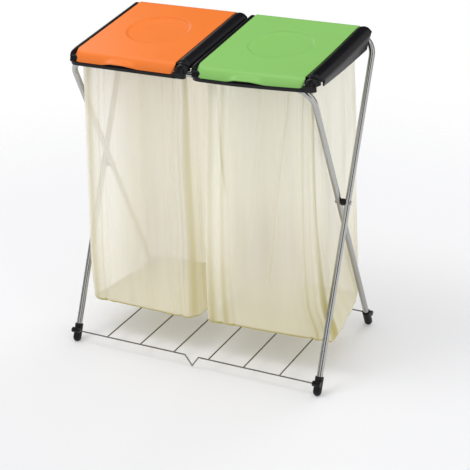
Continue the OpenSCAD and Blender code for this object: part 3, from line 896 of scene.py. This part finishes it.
def smooth_levels(levels, z):
    """The corners at a height, on smooth curves through the levels that are given."""
    heights = [level[0] * MM for level in levels]
    if z >= heights[0]:
        return [Vector(corner) * MM for corner in levels[0][1]]
    if z <= heights[-1]:
        return [Vector(corner) * MM for corner in levels[-1][1]]
    k = next(i for i in range(len(heights) - 1) if heights[i + 1] <= z)
    t = (heights[k] - z) / (heights[k] - heights[k + 1])
    before, after = levels[max(k - 1, 0)][1], levels[min(k + 2, len(levels) - 1)][1]
    corners = []
    for p0, p1, p2, p3 in zip(before, levels[k][1], levels[k + 1][1], after):
        p0, p1, p2, p3 = Vector(p0), Vector(p1), Vector(p2), Vector(p3)
        point = 0.5 * (2 * p1 + (p2 - p0) * t + (2 * p0 - 5 * p1 + 4 * p2 - p3) * t * t
                       + (3 * p1 - p0 - 3 * p2 + p3) * t**3)
        corners.append(point * MM)
    return corners


# Points along each of a ring's eight sides
SIDE_STEPS = (96, 14, 30, 34, 66, 20, 34, 20)


def ring_from(corners):
    """A closed ring of points through the corners, as (point, side number, share of that side)."""
    ring = []
    for side, steps in enumerate(SIDE_STEPS):
        start, end = corners[side], corners[(side + 1) % len(corners)]
        for step in range(steps):
            ring.append((mixed(start, end, step / steps), side, step / steps))
    return ring


def softened(ring, passes):
    """Rounds a closed ring of points by averaging neighbours."""
    for _ in range(passes):
        count = len(ring)
        ring = [0.25 * ring[i - 1] + 0.5 * ring[i] + 0.25 * ring[(i + 1) % count] for i in range(count)]
    return ring


# Creases: side, share at the top, share at the bottom, half width as a share, height in mm, lower and upper
# end in m, and how much denser the film is along it

LEFT_CREASES = (
    (0, 0.060, 0.050, 0.034, 3.0, 0.05, 0.72, 0.9), (0, 0.150, 0.125, 0.014, -2.5, 0.05, 0.68, 0.5),
    (0, 0.225, 0.180, 0.020, 1.6, 0.05, 0.66, 0.3), (0, 0.40, 0.35, 0.040, 1.6, 0.25, 0.70, 0.12),
    (0, 0.60, 0.60, 0.045, 1.4, 0.10, 0.70, -0.15), (0, 0.80, 0.86, 0.012, 1.8, 0.05, 0.72, 0.35),
    (0, 0.90, 0.92, 0.014, -2.2, 0.05, 0.72, 0.4), (0, 0.965, 0.97, 0.014, 1.6, 0.05, 0.72, -0.3),
    (1, 0.50, 0.50, 0.60, 1.5, 0.05, 0.74, 1.1), (2, 0.35, 0.3, 0.12, -3.0, 0.08, 0.62, -0.3),
    (2, 0.7, 0.65, 0.12, 2.5, 0.08, 0.62, 0.0), (4, 0.3, 0.35, 0.05, 2.5, 0.1, 0.66, 0.2),
    (4, 0.7, 0.6, 0.05, -2.5, 0.1, 0.66, 0.2), (7, 0.6, 0.6, 0.35, 2.0, 0.05, 0.70, 0.7),
)
RIGHT_CREASES = (
    (0, 0.055, 0.045, 0.040, 2.5, 0.05, 0.74, 0.9), (0, 0.115, 0.105, 0.014, -2.6, 0.05, 0.72, -0.2),
    (0, 0.170, 0.160, 0.030, 2.0, 0.05, 0.72, 0.8), (0, 0.230, 0.215, 0.012, -1.8, 0.05, 0.70, 0.3),
    (0, 0.090, 0.360, 0.014, 2.2, 0.38, 0.72, 0.6), (0, 0.80, 0.50, 0.013, -2.4, 0.20, 0.70, 0.6),
    (0, 0.55, 0.34, 0.020, 1.6, 0.30, 0.70, 0.3), (0, 0.93, 0.885, 0.016, 2.4, 0.05, 0.70, 0.8),
    (0, 0.865, 0.835, 0.022, -2.0, 0.05, 0.68, 0.2), (0, 0.972, 0.945, 0.020, -2.2, 0.05, 0.70, 0.5),
    (1, 0.50, 0.50, 0.60, 1.5, 0.05, 0.72, 1.3),
    (2, 0.30, 0.25, 0.10, 3.0, 0.08, 0.62, 0.3), (2, 0.75, 0.70, 0.10, -3.0, 0.08, 0.62, 0.2),
    (3, 0.40, 0.45, 0.08, 2.5, 0.08, 0.62, 0.3), (3, 0.85, 0.85, 0.08, -2.0, 0.08, 0.62, 0.2),
    (4, 0.3, 0.35, 0.05, 2.5, 0.1, 0.66, 0.2), (4, 0.7, 0.6, 0.05, -2.5, 0.1, 0.66, 0.2),
)

# Layers of film where each side starts
SIDE_LAYERS = (0.8, 0.9, 0.8, 0.9, 1.2, 2.4, 2.2, 1.1)


def crease_at(side, share, z, creases):
    """How far the film stands out at a point and how much denser it is there."""
    height = dense = 0.0
    for at_side, top_share, low_share, width, rise, low, high, weight in creases:
        if at_side != side:
            continue
        centre = mixed(top_share, low_share, (0.65 - z) / 0.57)
        centre += 0.006 * noise.noise(Vector((z * 9, top_share * 40, 0)))
        fade = smooth_step(z, low - 0.03, low + 0.05) * (1 - smooth_step(z, high - 0.06, high + 0.02))
        near = fade * math.exp(-(((share - centre) / width) ** 2))
        height += rise * MM * near
        dense += weight * near
    return height, dense


# Inner faces of the lip, in m in the rim's space
MOUTH_LEFT, MOUTH_RIGHT, MOUTH_FRONT, MOUTH_BACK = 16.4 * MM, 243.6 * MM, -270.1 * MM, -20.4 * MM


def mouth_corners(z):
    """The eight corners of the film on the lip's inner face, in the rim's space."""
    half = MOUTH_FRONT / 2
    right = [(MOUTH_RIGHT, y) for y in (MOUTH_FRONT, MOUTH_FRONT + 0.018, half, MOUTH_BACK)]
    left = [(MOUTH_LEFT, y) for y in (MOUTH_BACK, half + 0.04, half - 0.05)]
    return [Vector((x, y, z)) for x, y in [(MOUTH_LEFT, MOUTH_FRONT), *right, *left]]


def ring_frame(points, i):
    """The point of a ring and the direction out of it there, seen from above."""
    tangent = points[(i + 1) % len(points)] - points[i - 1]
    return points[i], Vector((tangent.y, -tangent.x, 0)).normalized()


# Rows of the cuff: out from the lip's inner face and up from the rim's plane, in mm
CUFF = ((2.9, 9.3), (2.9, 12.6), (1.2, 12.9), (-0.2, 12.5), (-0.3, 8.0), (-0.5, 2.0), (-0.6, -2.0))

# Rows of the bottom: share of the lowest ring that is left, and the drop below it in mm
BOTTOM = (
    (0.985, 5), (0.95, 8), (0.9, 9.5), (0.8, 10.5), (0.65, 11.5),
    (0.5, 12), (0.35, 12.5), (0.2, 13), (0.08, 13), (0.01, 13),
)
FALL_ROWS = 100
FALL_START = 0.02
CREASE_GAIN = 1.4
DENSE_GAIN = 1.25
BOTTOM_LAYERS = 4.0


def cuff_rows(space):
    """Rows of the film over the lip, from its edge outside to the mouth inside."""
    rows = []
    for out, height in CUFF:
        ring = softened([point for point, _, _ in ring_from(mouth_corners(height * MM))], 6)
        row = []
        for i in range(len(ring)):
            point, outward = ring_frame(ring, i)
            row.append(space @ (point + outward * out * MM))
        rows.append(row)
    return rows


def bottom_rows(edge, low, seed):
    """Rows from the lowest ring of a bag to the middle of its bottom."""
    centre = sum(edge, Vector()) / len(edge)
    rows = []
    for drawn, drop in BOTTOM:
        row = []
        for point in edge:
            at = centre + (point - centre) * drawn
            lift = noise.noise(Vector((at.x * 22, at.y * 22, seed + 3))) * 3.0 * MM
            row.append(Vector((at.x, at.y, low - drop * MM + lift * (1 - drawn))))
        rows.append(row)
    return rows


def bag_rows(rim_x, levels, creases, seed, deeper):
    """Rows of a bag from its cuff to the middle of its bottom, and the film's layers at each point."""
    rows = cuff_rows(rim_space(rim_x))
    layers = [[1.0] * len(row) for row in rows]
    mouth = rows[-1]
    top_z = levels[0][0] * MM + FALL_START
    low_z = levels[-1][0] * MM
    for step in range(1, FALL_ROWS + 1):
        share = (step / FALL_ROWS) ** 1.15
        z = mixed(top_z, low_z, share)
        ring = ring_from(smooth_levels(levels, z))
        flat = softened([Vector((point.x, point.y, 0)) for point, _, _ in ring], 2)
        blend = smooth_step(share, 0.0, 0.032)
        strength = smooth_step(share, 0.0, 0.12)
        level = smooth_step(share, 0.0, 0.5)
        down = deeper * (1 - smooth_step(z, 0.08, 0.36))
        row, row_layers = [], []
        for i, (_, side, along) in enumerate(ring):
            point, outward = ring_frame(flat, i)
            height, dense = crease_at(side, along, z, creases)
            swell = noise.noise(Vector((point.x * 12, point.y * 12, z * 4 + seed))) * 2.0 * MM
            ripple = noise.noise(Vector((point.x * 34, point.y * 34, z * 5 + seed + 9))) * 0.7 * MM
            point = point + outward * (CREASE_GAIN * height + swell + ripple) * strength
            at_z = mixed(mouth[i].z - (top_z - z), z, level)
            row.append(mixed(Vector((mouth[i].x, mouth[i].y, at_z)), Vector((point.x, point.y, at_z)), blend))
            base = mixed(SIDE_LAYERS[side], SIDE_LAYERS[(side + 1) % 8], smooth_step(along, 0.0, 1.0))
            row_layers.append(base + down + DENSE_GAIN * dense)
        rows.append(row)
        layers.append(row_layers)
    bottom = bottom_rows(rows[-1], low_z, seed)
    return rows + bottom, layers + [[BOTTOM_LAYERS] * len(row) for row in bottom]


def build_bag(node, rim_x, levels, creases, seed, deeper):
    """One film bag, open at the top, with its cuff over the rim's lip."""
    rows, layers = bag_rows(rim_x, levels, creases, seed, deeper)
    piece = grid_mesh(node + "_film", rows, closed=True, material=bpy.data.materials["bag_film"])
    attribute = piece.data.attributes.new("layers", "FLOAT", "POINT")
    attribute.data.foreach_set("value", [value for row in layers for value in row])
    return piece


class STAND_OT_bags(bpy.types.Operator):
    """Builds the two film bags"""

    bl_idname = "stand.bags"
    bl_label = "Bags"

    def execute(self, context):
        bags = (
            ("bag_left", RIM_LEFT_X, LEFT_BAG, LEFT_CREASES, 2.0, 0.35),
            ("bag_right", RIM_RIGHT_X, RIGHT_BAG, RIGHT_CREASES, 7.0, 0.85),
        )
        for node, rim_x, levels, creases, seed, deeper in bags:
            piece = build_bag(node, rim_x, levels, creases, seed, deeper)
            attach(piece, body_of_node(node))
            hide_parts(node)
            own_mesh(piece)
        return {"FINISHED"}


# Stage: floor, light and camera

# The camera fitted to the photograph: place, angles in degrees and its lens in the photograph's pixels
CAMERA_PLACE = Vector((1398.6, -2606.1, 1621.1)) * MM
CAMERA_AZIMUTH, CAMERA_ELEVATION, CAMERA_ROLL = 27.73, 24.74, -2.118
PHOTO_SIDE = 470
FOCAL_PIXELS = 1464.2
CENTRE_PIXEL = (234.7, 230.41)
SENSOR = 36.0

# The floor's half width and height in m, and its share of its colour and its lift as the camera sees it
FLOOR_HALF = 3.0
FLOOR_Z = -0.0002
FLOOR_SEEN = 0.75
FLOOR_LIFT = (0.22, 0.222, 0.234, 1)

# Dark flags that only reflections see: bearing in degrees and half width in m
FLAGS = ((40, 0.7), (96, 2.0), (168, 0.7), (205, 0.7), (245, 0.7), (312, 0.8))
FLAG_R, FLAG_TOP = 3.2, 5.2
OVERHEAD_X, OVERHEAD_Y, OVERHEAD_Z = (-2.4, 0.4), (-2.2, 1.0), 4.2

# Lamps: name, place, height that they point at, size in m and power in W
LAMPS = (
    ("key_lamp", (-0.9, -0.8, 3.0), 0.4, 1.3, 30),
    ("fill_lamp", (2.4, -1.2, 1.6), 0.4, 1.4, 9),
    ("back_lamp", (0.4, 2.2, 2.4), 0.5, 1.4, 20),
)


def camera_turn(azimuth, elevation, roll):
    """The camera's rotation from its bearing, its height angle and its roll, in degrees."""
    az, el, ro = (math.radians(value) for value in (azimuth, elevation, roll))
    ahead = Vector((-math.sin(az) * math.cos(el), math.cos(az) * math.cos(el), -math.sin(el)))
    right = ahead.cross(Vector((0, 0, 1))).normalized()
    up = right.cross(ahead)
    turned_right = math.cos(ro) * right + math.sin(ro) * up
    turned_up = math.cos(ro) * up - math.sin(ro) * right
    return Matrix((turned_right, turned_up, -ahead)).transposed()


def add_camera(scene):
    """The camera at the photograph's place, with its angle and its small shift."""
    camera = bpy.data.cameras.new("photo_camera")
    camera.sensor_width = SENSOR
    camera.lens = FOCAL_PIXELS / PHOTO_SIDE * SENSOR
    camera.shift_x = (PHOTO_SIDE / 2 - CENTRE_PIXEL[0]) / PHOTO_SIDE
    camera.shift_y = (CENTRE_PIXEL[1] - PHOTO_SIDE / 2) / PHOTO_SIDE
    holder = bpy.data.objects.new("photo_camera", camera)
    scene.collection.objects.link(holder)
    turn = camera_turn(CAMERA_AZIMUTH, CAMERA_ELEVATION, CAMERA_ROLL)
    holder.matrix_world = Matrix.Translation(CAMERA_PLACE) @ turn.to_4x4()
    scene.camera = holder


def add_lamp(name, place, aim_z, size, power):
    """A square area lamp at a place, turned to a height above the middle of the floor."""
    lamp = bpy.data.lights.new(name, "AREA")
    lamp.size = size
    lamp.energy = power
    holder = bpy.data.objects.new(name, lamp)
    bpy.context.collection.objects.link(holder)
    holder.location = place
    holder.visible_glossy = False
    aim = Vector((0, 0, aim_z)) - Vector(place)
    holder.rotation_euler = aim.to_track_quat("-Z", "Y").to_euler()


def stage_world():
    """White to the camera, a pale room with a darker band to reflections and light."""
    world = bpy.data.worlds.new("pale_room")
    world.use_nodes = True
    nodes, link = world.node_tree.nodes, world.node_tree.links.new
    nodes.clear()
    output = nodes.new("ShaderNodeOutputWorld")
    path = nodes.new("ShaderNodeLightPath")
    white = nodes.new("ShaderNodeBackground")
    white.inputs["Color"].default_value = (1, 1, 1, 1)
    white.inputs["Strength"].default_value = 1.0
    room = nodes.new("ShaderNodeBackground")
    room.inputs["Strength"].default_value = 0.71
    place = nodes.new("ShaderNodeTexCoord")
    split = nodes.new("ShaderNodeSeparateXYZ")
    ramp = nodes.new("ShaderNodeValToRGB")
    ramp.color_ramp.elements[0].position = 0.30
    ramp.color_ramp.elements[0].color = (0.30, 0.30, 0.31, 1)
    ramp.color_ramp.elements[1].position = 0.75
    ramp.color_ramp.elements[1].color = (1.0, 1.0, 1.0, 1)
    link(place.outputs["Generated"], split.inputs[0])
    link(maths(nodes, link, "MULTIPLY_ADD", split.outputs["Z"], 0.5, 0.5), ramp.inputs[0])
    link(ramp.outputs[0], room.inputs["Color"])
    total = path.outputs["Is Camera Ray"]
    for ray in ("Is Glossy Ray", "Is Transmission Ray"):
        total = maths(nodes, link, "ADD", total, path.outputs[ray], clamp=True)
    seen = nodes.new("ShaderNodeMixShader")
    link(total, seen.inputs[0])
    link(room.outputs[0], seen.inputs[1])
    link(white.outputs[0], seen.inputs[2])
    link(seen.outputs[0], output.inputs[0])
    bpy.context.scene.world = world


def floor_material(colour):
    """Pale floor that keeps shadows, a little lifted to the camera, and fades to white far from the stand."""
    surface, nodes, link = shader("pale_floor")
    surface.inputs["Roughness"].default_value = 0.55
    surface.inputs["Specular IOR Level"].default_value = 0.25
    seen = nodes.new("ShaderNodeLightPath").outputs["Is Camera Ray"]
    darker = (*(FLOOR_SEEN * part for part in colour), 1)
    link(colour_mix(nodes, link, seen, (*colour, 1), darker), surface.inputs["Base Color"])
    surface.inputs["Emission Color"].default_value = FLOOR_LIFT
    link(seen, surface.inputs["Emission Strength"])
    length = nodes.new("ShaderNodeVectorMath")
    length.operation = "LENGTH"
    link(nodes.new("ShaderNodeTexCoord").outputs["Object"], length.inputs[0])
    clear = nodes.new("ShaderNodeBsdfTransparent")
    join = nodes.new("ShaderNodeMixShader")
    link(ranged(nodes, link, length.outputs["Value"], 0.75, 1.8, "SMOOTHSTEP"), join.inputs[0])
    link(surface.outputs[0], join.inputs[1])
    link(clear.outputs[0], join.inputs[2])
    link(join.outputs[0], nodes["Material Output"].inputs["Surface"])


def add_flag(name, rows):
    """A dark flag that only reflections see."""
    flag = grid_mesh(name, rows, bpy.data.materials["studio_flag"])
    flag.visible_camera = False
    flag.visible_diffuse = False
    flag.visible_shadow = False
    flag.visible_transmission = False


class STAND_OT_stage(bpy.types.Operator):
    """Adds the floor, the lamps and the camera"""

    bl_idname = "stand.stage"
    bl_label = "Stage"

    def execute(self, context):
        scene = context.scene
        scene.view_settings.view_transform = "Standard"
        stage_world()
        floor_material(scene.stand_colours.floor)
        sides = (-FLOOR_HALF, FLOOR_HALF)
        corners = [[Vector((x, y, FLOOR_Z)) for x in sides] for y in sides]
        floor = grid_mesh("floor", corners, bpy.data.materials["pale_floor"])
        flag_surface, _, _ = shader("studio_flag")
        flag_surface.inputs["Base Color"].default_value = (0.01, 0.01, 0.01, 1)
        flag_surface.inputs["Specular IOR Level"].default_value = 0.0
        for number, (bearing, half_width) in enumerate(FLAGS):
            turn = math.radians(bearing)
            middle = Vector((math.cos(turn), math.sin(turn), 0)) * FLAG_R
            along = Vector((-math.sin(turn), math.cos(turn), 0)) * half_width
            ends = (middle - along, middle + along)
            rows = [[end + Vector((0, 0, z)) for end in ends] for z in (0.0, FLAG_TOP)]
            add_flag(f"studio_flag_{number + 1}", rows)
        rows = [[Vector((x, y, OVERHEAD_Z)) for x in OVERHEAD_X] for y in OVERHEAD_Y]
        add_flag("studio_flag_overhead", rows)
        for lamp in LAMPS:
            add_lamp(*lamp)
        add_camera(scene)
        return {"FINISHED"}


class STAND_PT_panel(bpy.types.Panel):
    """Lists the stand's sizes, colours and steps"""

    bl_label = "Bag Stand"
    bl_idname = "STAND_PT_panel"
    bl_space_type = "VIEW_3D"
    bl_region_type = "UI"
    bl_category = "Bag Stand"

    def draw(self, context):
        for group in (context.scene.stand_sizes, context.scene.stand_colours):
            for name in group.bl_rna.properties.keys():
                if name not in ("rna_type", "name"):
                    self.layout.prop(group, name)
        for step in STEPS:
            self.layout.operator(step.bl_idname)


STEPS = (
    STAND_OT_materials, STAND_OT_frame_parts, STAND_OT_rims, STAND_OT_lids, STAND_OT_bags, STAND_OT_stage
)
CLASSES = (StandSizes, StandColours, *STEPS, STAND_PT_panel)


def register():
    """Registers the classes and hangs the sizes and colours on the scene."""
    for item in CLASSES:
        bpy.utils.register_class(item)
    bpy.types.Scene.stand_sizes = PointerProperty(type=StandSizes)
    bpy.types.Scene.stand_colours = PointerProperty(type=StandColours)


def unregister():
    """Takes the classes and the scene's properties away again."""
    del bpy.types.Scene.stand_colours
    del bpy.types.Scene.stand_sizes
    for item in reversed(CLASSES):
        bpy.utils.unregister_class(item)


def main():
    """Builds the stand step by step."""
    register()
    bpy.ops.stand.materials()
    bpy.ops.stand.frame_parts()
    bpy.ops.stand.rims()
    bpy.ops.stand.lids()
    bpy.ops.stand.bags()
    bpy.ops.stand.stage()


if __name__ == "__main__":
    main()
